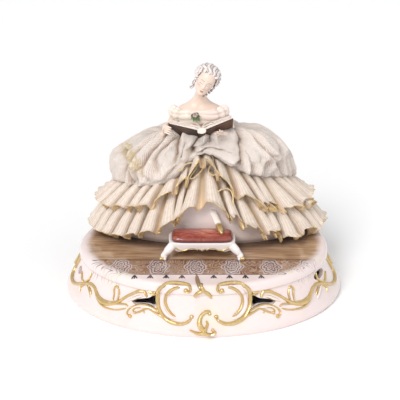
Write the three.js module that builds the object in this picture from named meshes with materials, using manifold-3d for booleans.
// Porcelain lady reading on an oval plinth, in millimetres.
// +X is the viewer's right, +Y is away from the viewer, +Z is up.
// The origin is the centre of the plinth's underside.

import * as THREE from 'three';
import { mergeVertices } from 'three/addons/utils/BufferGeometryUtils.js';
import Module from 'manifold-3d';

const wasm = await Module();
wasm.setup();

// Driving dimensions
const FIT_GAP = 0.35;
const PLINTH_RATIO = 0.8;
const FLOOR_Z = 60;
const FLOOR_THICKNESS = 6.5;
const SEAT_Z = FLOOR_Z + FIT_GAP;
const BODY_X = -4.5;
const BODY_Y = 46;
const LACE_WALL = 2;
const SKIRT_SIDES = 36;

// Plinth outline from the floor's edge down to the foot: half width and height.
const PLINTH_PROFILE = [
  [150, 60], [154.6, 57.2], [155.2, 49.5], [153.4, 46.5], [157.5, 35], [165.5, 21], [172.2, 9.5],
  [173, 4], [170.5, 0],
];
// Hollow inside, from the open foot up to the ceiling.
const HOLLOW_PROFILE = [
  [164.5, -1], [166.5, 5], [158.5, 21], [150.5, 35], [147, FLOOR_Z - FLOOR_THICKNESS],
];

// Underskirt stations: height, half width, front, back and sideways centre.
const SKIRT_STATIONS = [
  [SEAT_Z, 122, -11, 103, 5],
  [66, 127, -15, 106, 5],
  [80, 126, -16, 106, 4.5],
  [100, 118, -14, 102, 3],
  [125, 104, -11, 97, 1],
  [150, 90, -10, 91, 0],
  [168, 78, -8, 85, -1],
  [180, 62, -3, 76, -3],
  [185.5, 42, 16, 66, -4],
];

const radians = THREE.MathUtils.degToRad;
const vector = (x, y, z) => new THREE.Vector3(x, y, z);

// Piecewise-linear reading of a table whose first column rises.
function readTable(rows, key) {
  const last = rows.length - 1;
  if (key <= rows[0][0]) return rows[0].slice(1);
  if (key >= rows[last][0]) return rows[last].slice(1);
  const upper = rows.findIndex((row) => row[0] >= key);
  const low = rows[upper - 1];
  const high = rows[upper];
  const share = (key - low[0]) / (high[0] - low[0]);
  return low.slice(1).map((value, i) => value + (high[i + 1] - value) * share);
}

// Closed surface through rings of equal length, each end closed by a fan.
function loft(rings) {
  const sides = rings[0].length;
  const positions = rings.flat().flatMap((point) => point.toArray());
  const index = [];
  for (let row = 0; row < rings.length - 1; row += 1) {
    for (let side = 0; side < sides; side += 1) {
      const next = (side + 1) % sides;
      const a = row * sides + side;
      const b = row * sides + next;
      index.push(a, b, b + sides, a, b + sides, a + sides);
    }
  }
  for (const [row, turn] of [[0, true], [rings.length - 1, false]]) {
    const centre = rings[row].reduce((sum, point) => sum.add(point), vector(0, 0, 0)).divideScalar(sides);
    const hub = positions.length / 3;
    positions.push(...centre.toArray());
    for (let side = 0; side < sides; side += 1) {
      const a = row * sides + side;
      const b = row * sides + ((side + 1) % sides);
      index.push(...(turn ? [hub, b, a] : [hub, a, b]));
    }
  }
  return outward(positions, index);
}

// Closed band through cross sections, joined from the last back to the first.
function bandLoft(sections) {
  const count = sections.length;
  const sides = sections[0].length;
  const positions = sections.flat().flatMap((point) => point.toArray());
  const index = [];
  for (let row = 0; row < count; row += 1) {
    const nextRow = (row + 1) % count;
    for (let side = 0; side < sides; side += 1) {
      const next = (side + 1) % sides;
      const a = row * sides + side;
      const b = row * sides + next;
      const c = nextRow * sides + next;
      const d = nextRow * sides + side;
      index.push(a, b, c, a, c, d);
    }
  }
  return outward(positions, index);
}

// Straight prism on a flat outline, which may be hollowed in. The map places (u, v, w) in space.
function prism(outline, place, from, to) {
  const flat = outline.map(([u, v]) => new THREE.Vector2(u, v));
  if (THREE.ShapeUtils.area(flat) < 0) flat.reverse();
  const caps = THREE.ShapeUtils.triangulateShape(flat, []);
  const count = flat.length;
  const positions = [from, to].flatMap((w) => flat.flatMap(({ x, y }) => place(x, y, w).toArray()));
  const index = [];
  for (const cap of caps) {
    const inverted = THREE.ShapeUtils.area(cap.map((i) => flat[i])) < 0;
    const [a, b, c] = inverted ? cap.reverse() : cap;
    index.push(a, b, c, c + count, b + count, a + count);
  }
  for (let side = 0; side < count; side += 1) {
    const next = (side + 1) % count;
    index.push(side, side + count, next + count, side, next + count, next);
  }
  return outward(positions, index);
}

// Geometry whose faces point out, whichever way its rings were walked.
function outward(positions, index) {
  let volume = 0;
  const corner = (i) => vector(positions[3 * i], positions[3 * i + 1], positions[3 * i + 2]);
  for (let i = 0; i < index.length; i += 3) {
    volume += corner(index[i]).dot(corner(index[i + 1]).cross(corner(index[i + 2])));
  }
  if (volume < 0) index.reverse();
  const geometry = new THREE.BufferGeometry();
  geometry.setAttribute('position', new THREE.Float32BufferAttribute(positions, 3));
  geometry.setIndex(index);
  return geometry;
}

function solid(geometry) {
  const bare = geometry.clone();
  bare.deleteAttribute('normal');
  bare.deleteAttribute('uv');
  const merged = mergeVertices(bare, 1e-4);
  const corners = merged.index.array;
  const kept = [];
  for (let i = 0; i < corners.length; i += 3) {
    const [a, b, c] = [corners[i], corners[i + 1], corners[i + 2]];
    if (a !== b && b !== c && c !== a) kept.push(a, b, c);
  }
  return new wasm.Manifold(new wasm.Mesh({
    numProp: 3,
    vertProperties: new Float32Array(merged.attributes.position.array),
    triVerts: new Uint32Array(kept),
  }));
}

const join = (geometries) => geometries.map(solid).reduce((whole, piece) => whole.add(piece));

function meshOf(name, manifold, colour, roughness, metalness = 0) {
  const cut = manifold.getMesh();
  const geometry = new THREE.BufferGeometry();
  geometry.setAttribute('position', new THREE.BufferAttribute(new Float32Array(cut.vertProperties), 3));
  geometry.setIndex(new THREE.BufferAttribute(new Uint32Array(cut.triVerts), 1));
  geometry.computeVertexNormals();
  const material = new THREE.MeshStandardMaterial({ color: colour, roughness, metalness });
  const mesh = new THREE.Mesh(geometry, material);
  mesh.name = name;
  return mesh;
}

// Oval ring. Angle 0 faces the viewer and 90 degrees is the viewer's right.
function ovalRing(sides, halfWidth, halfDepth, z, x = 0, y = 0) {
  return Array.from({ length: sides }, (_, i) => {
    const turn = (2 * Math.PI * i) / sides;
    return vector(x + halfWidth * Math.sin(turn), y - halfDepth * Math.cos(turn), z);
  });
}

// Round bar through points with a radius at each, ending in short domes.
function bar(points, radii, sides = 8, flat = 1) {
  const curve = new THREE.CatmullRomCurve3(points.map((p) => vector(...p)), false, 'centripetal');
  const steps = points.length === 2 ? 1 : (points.length - 1) * 2;
  const rings = [];
  let across = vector(1, 0, 0);
  for (let i = 0; i <= steps; i += 1) {
    const share = i / steps;
    const along = curve.getTangent(share);
    const place = curve.getPoint(share);
    across = across.clone().sub(along.clone().multiplyScalar(across.dot(along)));
    if (across.length() < 0.1) across = vector(0, 1, 0).cross(along);
    across.normalize();
    const up = along.clone().cross(across);
    const slot = share * (radii.length - 1);
    const low = Math.min(Math.floor(slot), radii.length - 2);
    const radius = radii[low] + (radii[low + 1] - radii[low]) * (slot - low);
    const ringAt = (size, push) => Array.from({ length: sides }, (_, k) => {
      const turn = (2 * Math.PI * k) / sides;
      return place.clone()
        .addScaledVector(across, size * Math.cos(turn))
        .addScaledVector(up, size * flat * Math.sin(turn))
        .addScaledVector(along, push);
    });
    if (i === 0) rings.push(ringAt(radius * 0.55, -radius * 0.6));
    rings.push(ringAt(radius, 0));
    if (i === steps) rings.push(ringAt(radius * 0.55, radius * 0.6));
  }
  return loft(rings);
}

function egg(centre, halves, slices = 10, stacks = 7) {
  const geometry = new THREE.SphereGeometry(1, slices, stacks);
  geometry.scale(...halves);
  geometry.translate(...centre);
  return geometry;
}

// Plinth wall: a point on the outside at an angle and a height, and its outward normal.
function plinthWall(angle, z) {
  const profile = PLINTH_PROFILE.map(([half, height]) => [height, half]).reverse();
  const [half] = readTable(profile, z);
  const [above] = readTable(profile, z + 2);
  const [below] = readTable(profile, z - 2);
  const turn = radians(angle);
  const place = vector(half * Math.sin(turn), -half * PLINTH_RATIO * Math.cos(turn), z);
  const around = vector(half * Math.cos(turn), half * PLINTH_RATIO * Math.sin(turn), 0).normalize();
  const rise = vector((above - below) * Math.sin(turn), -(above - below) * PLINTH_RATIO * Math.cos(turn), 4);
  const out = around.clone().cross(rise.normalize()).normalize();
  return { place, out };
}

// Raised moulding that follows the plinth wall through points of angle and height.
function moulding(points, width, height, steps, mirrored = false, sides = 3) {
  const curve = new THREE.CatmullRomCurve3(points.map(([angle, z]) => vector(angle * 2.8, 0, z)));
  const side = mirrored ? -1 : 1;
  const places = Array.from({ length: steps + 1 }, (_, i) => {
    const point = curve.getPoint(i / steps);
    return plinthWall((side * point.x) / 2.8, point.z);
  });
  const rings = places.map(({ place, out }, i) => {
    const before = places[Math.max(0, i - 1)].place;
    const after = places[Math.min(steps, i + 1)].place;
    const along = after.clone().sub(before).normalize();
    const across = along.clone().cross(out).normalize();
    const share = (i + 0.4) / (steps + 0.8);
    const taper = 0.45 + 0.55 * Math.sqrt(Math.sin(Math.PI * share));
    return Array.from({ length: sides }, (_, k) => {
      const turn = (2 * Math.PI * k) / sides + Math.PI / 2;
      return place.clone()
        .addScaledVector(across, (width / 2) * taper * Math.cos(turn))
        .addScaledVector(out, height * taper * Math.sin(turn) - 1.3);
    });
  });
  return loft(rings);
}

// Part of an ellipse on the wall.
function scrollArc(centreAngle, centreZ, halfAngle, halfHeight, from, to, steps) {
  return Array.from({ length: steps + 1 }, (_, i) => {
    const turn = radians(from + ((to - from) * i) / steps);
    return [centreAngle + halfAngle * Math.cos(turn), centreZ + halfHeight * Math.sin(turn)];
  });
}

// Gilt mouldings on the wall: points of angle and height, mirrored to the viewer's left.
const C_SCROLL = { angle: 12.4, z: 38, halfAngle: 7.6, halfHeight: 22.5 };
const SIDE_SCROLL = [
  [25.8, 45.4], [29.8, 45.2], [34.8, 37.3], [39.1, 27.4], [44.2, 22.6], [50.5, 24.4], [55.6, 32],
  [59.3, 33], [67.4, 25.8], [76.6, 18.8], [84.6, 26], [81, 47],
];
const LOWER_ARM = [[17, 24.5], [23, 30.5], [27, 31.5], [31, 27], [31.6, 17.5]];
const SPRIGS = [
  [[40.6, 27.4], [40.8, 34], [42.4, 43]],
  [[63.8, 31.5], [61.8, 37.5], [62.3, 45.6]],
  [[55.4, 18.6], [59.4, 24.8], [62.6, 29]],
  [[65.6, 29.8], [68.3, 30.8], [72.7, 37]],
];
const CROWN = [[-4.3, 46.4], [-2.6, 51.6], [-0.2, 54.2], [2, 50.4], [3.3, 43.8]];
const STEM = [[0.2, 53.5], [-0.8, 57], [-1.1, 60.5]];
const HOOK = [
  [2.3, 27.2], [1.6, 29.8], [-0.8, 26.4], [-1.7, 19.5], [-1.2, 13.4], [0.6, 6.6], [3.4, 6.8], [3.6, 10.4],
];
// Small oval openings cut in along the wall's normal.
const SIDE_WINDOWS = [
  { angle: -76, z: 35, wide: 7, high: 5 },
  { angle: 65, z: 40.5, wide: 13, high: 5.2 },
];
const onBack = (points) => points.map(([angle, z]) => [180 - angle, z]);

// C scroll: from a volute at its top round an ellipse to an upturned foot.
function cScroll() {
  const { angle, z, halfAngle, halfHeight } = C_SCROLL;
  const volute = [
    [angle - halfAngle * 0.62, z + halfHeight * 0.62], [angle - halfAngle * 0.9, z + halfHeight * 0.75],
  ];
  const round = scrollArc(angle, z, halfAngle, halfHeight, 128, -122, 10);
  const foot = [[angle - halfAngle * 0.93, z - halfHeight * 0.48]];
  return [...volute, ...round, ...foot];
}

function plinth() {
  const sides = 32;
  const rings = PLINTH_PROFILE.map(([half, z]) => ovalRing(sides, half, half * PLINTH_RATIO, z));
  const hollow = HOLLOW_PROFILE.map(([half, z]) => ovalRing(20, half, half * PLINTH_RATIO, z));
  let body = solid(loft(rings));
  for (const mirrored of [false, true]) {
    const inner = scrollArc(C_SCROLL.angle - 0.3, C_SCROLL.z, 4.6, 16.5, 100, -105, 6);
    body = body.add(solid(moulding(cScroll(), 6, 4.8, 12, mirrored)));
    body = body.add(solid(moulding(inner, 3.8, 3.4, 5, mirrored)));
    body = body.add(solid(moulding(SIDE_SCROLL, 6, 4.6, 12, mirrored)));
    body = body.add(solid(moulding(LOWER_ARM, 5.4, 4, 5, mirrored)));
    for (const sprig of SPRIGS) body = body.add(solid(moulding(sprig, 4, 3.4, 2, mirrored)));
    body = body.add(solid(moulding(onBack(SIDE_SCROLL), 6, 4.2, 10, mirrored)));
  }
  body = body.add(solid(moulding(CROWN, 4, 3.8, 4)));
  body = body.add(solid(moulding(STEM, 4.4, 4, 3)));
  body = body.add(solid(moulding(HOOK, 5.8, 4.8, 7)));
  body = body.add(solid(moulding(onBack(HOOK), 5.8, 4.8, 7)));
  body = body.subtract(solid(loft(hollow)));
  for (const side of [-1, 1]) {
    body = body.subtract(solid(frontWindow(side)));
  }
  for (const window of SIDE_WINDOWS) body = body.subtract(solid(sideWindow(window)));
  return body;
}

// Wedge-shaped opening beside each C scroll, cut straight back through the wall.
function frontWindow(side) {
  const outline = [[56.5, 31.8], [56.5, 45], [65, 39.8], [79, 36], [84.5, 33], [78, 29.6], [63, 31.8]];
  return prism(outline, (x, z, y) => vector(side * x, y, z), -130, -84);
}

function sideWindow({ angle, z, wide, high }) {
  const { place, out } = plinthWall(angle, z);
  const along = vector(-out.y, out.x, 0).normalize();
  const rise = out.clone().cross(along);
  return loft([14, -16].map((depth) => Array.from({ length: 8 }, (_, k) => {
    const turn = (2 * Math.PI * k) / 8;
    return place.clone()
      .addScaledVector(out, depth)
      .addScaledVector(along, wide * Math.cos(turn))
      .addScaledVector(rise, high * Math.sin(turn));
  })));
}

// Point on the underskirt, moved out by a distance.
function skirtPoint(angle, z, out = 0) {
  const [half, front, back, x] = readTable(SKIRT_STATIONS, z);
  const turn = radians(angle);
  const halfDepth = (back - front) / 2;
  return vector(
    x + (half + out) * Math.sin(turn),
    (front + back) / 2 - (halfDepth + out) * Math.cos(turn),
    z,
  );
}

function skirtSolid(out = 0) {
  const rows = SKIRT_STATIONS.map(([z], row) => {
    const last = row === SKIRT_STATIONS.length - 1;
    const drop = row === 0 ? -out : 0;
    return Array.from({ length: SKIRT_SIDES }, (_, i) => {
      const point = skirtPoint((360 * i) / SKIRT_SIDES, z, out);
      point.z += last ? out : drop;
      return point;
    });
  });
  return loft(rows);
}

// Torso stations: height, half width, front and back.
const TORSO_STATIONS = [
  [176, 13.5, 34, 58], [186, 13, 34.5, 57], [196, 16, 30, 58.5], [205, 19.5, 26, 60],
  [213, 24, 27.5, 60.5], [221, 28, 34, 60], [226.5, 18, 39, 59], [231, 9, 41.5, 55],
];
const NECK = [[BODY_X - 0.5, 48, 224], [BODY_X, 46, 234], [BODY_X + 2.5, 41, 246]];
const ARMS = {
  left: [[-31, 50, 213], [-39, 48, 199], [-47, 33, 189.5], [-50, 16, 194], [-48, 8.5, 203.5]],
  right: [[22, 50, 213], [29.5, 45, 201], [33.5, 30, 195], [28.5, 11, 198.5], [21.5, 0.5, 203.5]],
};
const BERTHA = { x: -6, halfWidth: 31.5, halfDepth: 15.5, z: 217.3, dip: 5.6, sag: 11, radius: 6.4 };

function torso() {
  const rings = TORSO_STATIONS.map(([z, half, front, back]) => (
    ovalRing(10, half, (back - front) / 2, z, BODY_X, (front + back) / 2)
  ));
  return loft(rings);
}

// Draped collar: a fat ring round the shoulders that dips at the breast and the back, with gathers.
function bertha() {
  const sections = Array.from({ length: 16 }, (_, i) => {
    const turn = (2 * Math.PI * i) / 16;
    const ahead = Math.max(0, Math.cos(turn));
    const behind = Math.max(0, -Math.cos(turn));
    const gather = 1 + 0.07 * Math.cos(8 * turn);
    const tall = 1.1 + 0.42 * ahead;
    const centre = vector(
      BERTHA.x + BERTHA.halfWidth * Math.sin(turn),
      BODY_Y - BERTHA.halfDepth * Math.cos(turn),
      BERTHA.z - BERTHA.dip * ahead ** 1.5 - BERTHA.sag * behind,
    );
    const out = vector(Math.sin(turn), -Math.cos(turn), 0);
    return Array.from({ length: 5 }, (__, k) => {
      const lean = (2 * Math.PI * k) / 5;
      return centre.clone()
        .addScaledVector(out, BERTHA.radius * gather * Math.cos(lean))
        .add(vector(0, 0, BERTHA.radius * tall * gather * Math.sin(lean)));
    });
  });
  return bandLoft(sections);
}

// Head stations in the head's own frame: height, half width, front and back.
const HEAD_STATIONS = [
  [-17, 3.4, -13.2, -6], [-14.8, 6, -14.8, -2], [-10, 9, -14.6, 4], [-4, 11.3, -14.6, 11],
  [2, 12.4, -14.2, 14.5], [8, 12.4, -14.2, 15.5], [13, 10.6, -12, 14], [16.5, 6, -6.5, 9],
];
const HEAD_CENTRE = [2.6, 34.5, 259];
const HEAD_SIZE = 0.94;
const HEAD_TILT = 28;
const HEAD_NOD = 4;

// Swept-back hair: an egg whose surface rises and falls in locks that run from brow to nape.
const HAIR = { centre: [0, 3.6, 5], halves: [14.6, 14.4, 13.8], locks: 7, swell: 0.07 };

function hairMass() {
  const { centre, halves, locks, swell } = HAIR;
  const ringCount = 8;
  return loft(Array.from({ length: ringCount }, (_, row) => {
    const rise = Math.PI * (0.06 + (0.88 * row) / (ringCount - 1));
    return Array.from({ length: locks * 2 }, (__, i) => {
      const turn = (Math.PI * i) / locks;
      const reach = Math.sin(rise) * (1 + (i % 2 ? -swell : swell));
      return vector(
        centre[0] + halves[0] * reach * Math.sin(turn),
        centre[1] - halves[1] * reach * Math.cos(turn),
        centre[2] + halves[2] * Math.cos(rise),
      );
    });
  }));
}

function headPieces() {
  const rings = HEAD_STATIONS.map(([z, half, front, back]) => (
    ovalRing(12, half, (back - front) / 2, z, 0, (front + back) / 2)
  ));
  const pieces = [loft(rings)];
  pieces.push(loft([
    [vector(-1, -13.6, 2), vector(1, -13.6, 2), vector(0.6, -15, 2)],
    [vector(-2.1, -13.6, -4.6), vector(2.1, -13.6, -4.6), vector(0, -17.6, -4.4)],
  ]));
  pieces.push(hairMass(), egg([0, 14.5, 2], [8.5, 6.5, 9], 7, 5));
  for (const side of [-1, 1]) {
    pieces.push(bar([[side * 12, 1, 2], [side * 12.8, 3, -6], [side * 11, 5, -13]], [2.6, 2.8, 1.8], 4));
  }
  return pieces;
}

function placeHead(geometry) {
  const moved = geometry.clone();
  moved.scale(HEAD_SIZE, HEAD_SIZE, HEAD_SIZE);
  moved.rotateX(radians(HEAD_NOD));
  moved.rotateY(radians(HEAD_TILT));
  moved.translate(...HEAD_CENTRE);
  return moved;
}

function armBars(grow = 0) {
  const radii = [8, 7.5, 5.6, 4.4, 3.6].map((radius) => radius + grow);
  return [bar(ARMS.left, radii, 6), bar(ARMS.right, radii, 6)];
}

// Hand: a palm and fingers that lie along the cover's edge.
function handPieces(palm, fingers) {
  const pieces = [egg(palm, [4.4, 4.2, 5.2], 6, 5)];
  for (const finger of fingers) pieces.push(bar(finger, [2.1, 1.5], 4));
  return pieces;
}

const LEFT_PALM = [-46.8, 5.5, 206.8];
const RIGHT_PALM = [20, -3.6, 205];

function leftHand() {
  const fingers = [0, 1, 2].map((i) => [
    [-46 + i * 0.3, 2 - i * 2.2, 210 - i * 2.6],
    [-39.5, -5.5 - i * 1.8, 212 - i * 3.6],
  ]);
  return handPieces(LEFT_PALM, fingers);
}

function rightHand() {
  const fingers = [0, 1].map((i) => [
    [19 + i * 2.5, -6, 205 + i * 3.6],
    [14 + i * 2.8, -14.5, 207 + i * 3.4],
  ]);
  return handPieces(RIGHT_PALM, fingers);
}

const SHOE = { heel: [10.5, -8, 108], toe: [21.8, -47, 93] };

function shoe() {
  const middle = SHOE.heel.map((value, i) => (value + SHOE.toe[i]) / 2 + (i === 2 ? 2 : 0));
  return bar([SHOE.heel, middle, SHOE.toe], [6, 5, 2.8], 6, 0.9);
}

// Open book: spine towards the viewer, pages towards the reader.
const BOOK = {
  spine: [-2.4, -11.5, 210], pitch: 45, roll: -5, open: 20, board: 39, tall: 35, pages: 6, cover: 1.4,
};

function bookOutline(grow = 0) {
  const { board, pages, cover, open } = BOOK;
  const rise = Math.tan(radians(open));
  const arm = (side, reach, lift) => [side * reach, reach * rise + lift];
  const back = -cover - grow;
  const front = pages + grow;
  return [
    [-3.5, back - 2.2], arm(-1, board + grow, back), arm(-1, board + grow, front * 0.7), [-4, front + 2.6],
    [0, front - 1.5], [4, front + 2.6], arm(1, board + grow, front * 0.7), arm(1, board + grow, back),
    [3.5, back - 2.2],
  ];
}

function bookSolid(grow = 0) {
  const { spine, pitch, roll, tall } = BOOK;
  const tilt = radians(pitch);
  const turn = radians(roll);
  const along = vector(0, -Math.sin(tilt), Math.cos(tilt));
  const facing = vector(0, Math.cos(tilt), Math.sin(tilt));
  const across = vector(1, 0, 0);
  const place = (u, v, w) => {
    const su = u * Math.cos(turn) + v * Math.sin(turn);
    const sv = -u * Math.sin(turn) + v * Math.cos(turn);
    return vector(...spine).addScaledVector(across, su).addScaledVector(facing, sv).addScaledVector(along, w);
  };
  return prism(bookOutline(grow), place, grow, -tall - grow);
}

function lady() {
  const form = join([
    skirtSolid(), torso(), bertha(), bar(NECK, [9, 7.6, 7.2], 8),
    ...armBars(), ...leftHand(), ...rightHand(), shoe(), ...headPieces().map(placeHead),
  ]);
  return form.subtract(solid(bookSolid(FIT_GAP)));
}

// Fall from the raised front of a flounce to its level sides.
function frontRise(angle, level, rise, spread, power) {
  const around = Math.abs(((angle + 540) % 360) - 180);
  return level + rise * Math.exp(-((around / spread) ** power));
}

// Hem of the overskirt: highest in front, lowest behind, and lower on the viewer's left.
function overskirtHem(angle) {
  const around = Math.abs(((angle + 540) % 360) - 180);
  const onRight = (angle + 360) % 360 < 180;
  const level = (onRight ? 139 : 134) - 5.5 * Math.min(1, Math.max(0, (around - 60) / 35));
  const spread = onRight ? 29 : 19;
  return level + (onRight ? 47 : 50) * Math.exp(-((around / spread) ** 1.6));
}

const FLOUNCES = {
  upper: {
    pleats: 36,
    top: (angle) => Math.min(overskirtHem(angle) + 2, 179),
    hem: (angle) => frontRise(angle, 99, 75, 22, 1.3),
    flare: 15,
  },
  lower: {
    pleats: 40,
    top: (angle) => frontRise(angle, 109, 58, 26, 1.4),
    hem: (angle) => frontRise(angle, 63, 58, 25, 1.4),
    flare: 16,
  },
};
const FLOUNCE_HALVES = [138, 76];

// Angles that part the flounces' oval outline into equal lengths.
function evenAngles(count) {
  const [halfWidth, halfDepth] = FLOUNCE_HALVES;
  const fine = 1440;
  const lengths = [0];
  for (let i = 0; i < fine; i += 1) {
    const turn = (2 * Math.PI * (i + 0.5)) / fine;
    lengths.push(lengths[i] + Math.hypot(halfWidth * Math.cos(turn), halfDepth * Math.sin(turn)));
  }
  const rows = lengths.map((length, i) => [length / lengths[fine], (360 * i) / fine]);
  return Array.from({ length: count }, (_, i) => readTable(rows, i / count)[0]);
}

// Flounce: a thin band whose organ-pipe pleats open towards the hem.
function flounce({ pleats, top, hem, flare }) {
  const perPleat = 3;
  const columns = pleats * perPleat;
  const rows = [0, 1];
  const sections = evenAngles(columns).map((angle, column) => {
    const wave = Math.sin((2 * Math.PI * (column % perPleat)) / perPleat);
    const wall = (extra) => rows.map((share) => {
      const drop = (hem(angle) - top(angle)) * share;
      const slope = Math.hypot(hem(angle) - top(angle), flare);
      const swing = (0.6 + 4.6 * share) * share * (wave + 0.2);
      const reach = 3 * FIT_GAP + extra + flare * share + (swing * (top(angle) - hem(angle))) / slope;
      const point = skirtPoint(angle, top(angle) + drop, reach);
      return point.setZ(point.z + (swing * flare) / slope);
    });
    return [...wall(0), ...wall(LACE_WALL).reverse()];
  });
  return solid(bandLoft(sections));
}

// Overskirt: a puffed band that hangs from the waist, pinched into valleys by creases.
const OVERSKIRT = {
  side: 112.5,
  front: 62,
  back: 60,
  columns: 56,
  pinch: 9,
  waist: 0.28,
  shares: [0.4, 0.66, 0.88, 0.985, 1, 0.97],
  falls: [0, 0, 0.27, 0.6, 0.92, 1],
  creased: [0.2, 0.6, 1, 1, 0.7, 0.35],
};
const CREASES = [-104, -82, -60, -39, -19, -5, 27, 45, 63, 84, 105, 128, 154, 180, 206, 232];

function overskirtCrest(angle) {
  const front = Math.max(0, Math.cos(radians(angle)));
  const right = Math.max(0, Math.sin(radians(angle)));
  return 185.5 + 20 * front ** 2 + 5 * right;
}

function overskirtSection(angle) {
  const { side, front, back, pinch, waist, shares, falls, creased } = OVERSKIRT;
  const hem = overskirtHem(angle);
  const crest = overskirtCrest(angle);
  const turn = radians(angle);
  const depth = Math.cos(turn) > 0 ? front : back;
  const valley = CREASES.reduce((sum, crease) => {
    const away = Math.abs(((angle - crease + 540) % 360) - 180);
    return sum + Math.exp(-((away / 6) ** 2));
  }, 0);
  const outside = shares.map((share, i) => {
    const tuck = pinch * creased[i] * valley;
    return vector(
      -1 + (side * share - tuck) * Math.sin(turn),
      BODY_Y - (depth * share - tuck * 0.8) * Math.cos(turn),
      crest - falls[i] * (crest - hem) - (i < 2 ? 1.5 * creased[i] * valley : 0) - (i === 0 ? 1 : 0),
    );
  });
  const lap = SKIRT_STATIONS[SKIRT_STATIONS.length - 1][0];
  const inside = [
    skirtPoint(angle, hem + 0.6, 5), skirtPoint(angle, hem + 2.8, 4.4),
    ...[hem + 4, 150, 168, 180, lap].map((z, i) => (
      skirtPoint(angle, Math.max(z, hem + 4 + i * 0.2), 3.8)
    )),
  ];
  const rim = skirtPoint(angle, lap, -1).setZ(Math.max(lap, hem + 5.2) + 0.6);
  const waistRing = [lap + 1, crest - 10].map((z) => vector(
    BODY_X + side * waist * Math.sin(turn), BODY_Y - depth * waist * Math.cos(turn), z,
  ));
  return [...outside, ...inside, rim, ...waistRing];
}

function overskirt() {
  const { columns } = OVERSKIRT;
  const sections = Array.from({ length: columns }, (_, i) => overskirtSection((360 * i) / columns));
  let body = solid(bandLoft(sections)).subtract(solid(bookSolid(FIT_GAP)));
  body = body.subtract(solid(skirtSolid(FIT_GAP)));
  for (const piece of armBars(FIT_GAP)) body = body.subtract(solid(piece));
  return body;
}

// Footstool: buttoned cushion, bowed apron and four splayed legs.
const STOOL = { x: -2, y: -35.5, halfWidth: 37, halfDepth: 16.5, seat: 80, top: 89 };

function footstool() {
  const { x, y, halfWidth, halfDepth, seat, top } = STOOL;
  const roundRing = (grow, z, power) => Array.from({ length: 12 }, (_, i) => {
    const turn = (2 * Math.PI * i) / 12;
    const s = Math.sin(turn);
    const c = Math.cos(turn);
    const spread = (value, half) => Math.sign(value) * (half + grow) * Math.abs(value) ** power;
    return vector(x + spread(s, halfWidth), y - spread(c, halfDepth), z);
  });
  const cushion = loft([
    roundRing(-2, seat, 0.45), roundRing(0.4, seat + 3.5, 0.45), roundRing(-1.6, top - 2, 0.5),
    roundRing(-9, top, 0.7),
  ]);
  const apron = loft([
    roundRing(-4, seat - 9, 0.5), roundRing(1.5, seat - 4, 0.45), roundRing(2.8, seat + 1.4, 0.45),
  ]);
  const legs = [];
  for (const side of [-1, 1]) {
    for (const [end, footY, splay] of [[-1, -54, 8.5], [1, -22, 0]]) {
      const foot = [x + side * (halfWidth + splay), footY, SEAT_Z + 2.8];
      const knee = [x + side * (halfWidth - 2), y + end * (halfDepth - 2), seat - 3];
      const ankle = [x + side * (halfWidth + 0.6 * splay), (knee[1] + footY) / 2 + end * 1, SEAT_Z + 8];
      legs.push(bar([knee, ankle, foot], [5, 3.8, 3.2], 4));
    }
  }
  return join([cushion, apron, ...legs]);
}

// Corsage: a five-petalled flower over a spray of leaves.
const CORSAGE = { x: -10.5, y: 21, z: 217.5, petals: 5, leaves: 4 };

function corsage() {
  const { x, y, z, petals, leaves } = CORSAGE;
  const petalRing = (radius, depth) => Array.from({ length: petals * 3 }, (_, i) => {
    const turn = (2 * Math.PI * i) / (petals * 3);
    const reach = radius * (1 + 0.28 * Math.cos(petals * turn));
    return vector(x + reach * Math.cos(turn), y + depth, z + 1 + reach * Math.sin(turn));
  });
  const pieces = [loft([petalRing(1.6, -2.6), petalRing(4.6, -1.2), petalRing(3.6, 1)])];
  for (let leaf = 0; leaf < leaves; leaf += 1) {
    const turn = radians(195 + (165 * leaf) / (leaves - 1));
    const blade = new THREE.OctahedronGeometry(1);
    blade.scale(5.6, 1.1, 2.4);
    blade.rotateY(-turn);
    blade.translate(x + 5.4 * Math.cos(turn), y + 0.4, z + 5.4 * Math.sin(turn));
    pieces.push(blade);
  }
  return join(pieces);
}

const group = new THREE.Group();
group.name = 'porcelain_lady';
group.add(meshOf('plinth', plinth(), 0xf2dfd8, 0.25));
group.add(meshOf('lady', lady(), 0xf3ded4, 0.3));
group.add(meshOf('overskirt', overskirt(), 0xe9e2d8, 0.6));
group.add(meshOf('upper_flounce', flounce(FLOUNCES.upper), 0xe8dcc4, 0.6));
group.add(meshOf('lower_flounce', flounce(FLOUNCES.lower), 0xe8dcc4, 0.6));
group.add(meshOf('book', solid(bookSolid()), 0x5a3826, 0.45));
group.add(meshOf('footstool', footstool(), 0xc4513a, 0.3));
group.add(meshOf('corsage', corsage(), 0x9db37f, 0.4));

export default group;
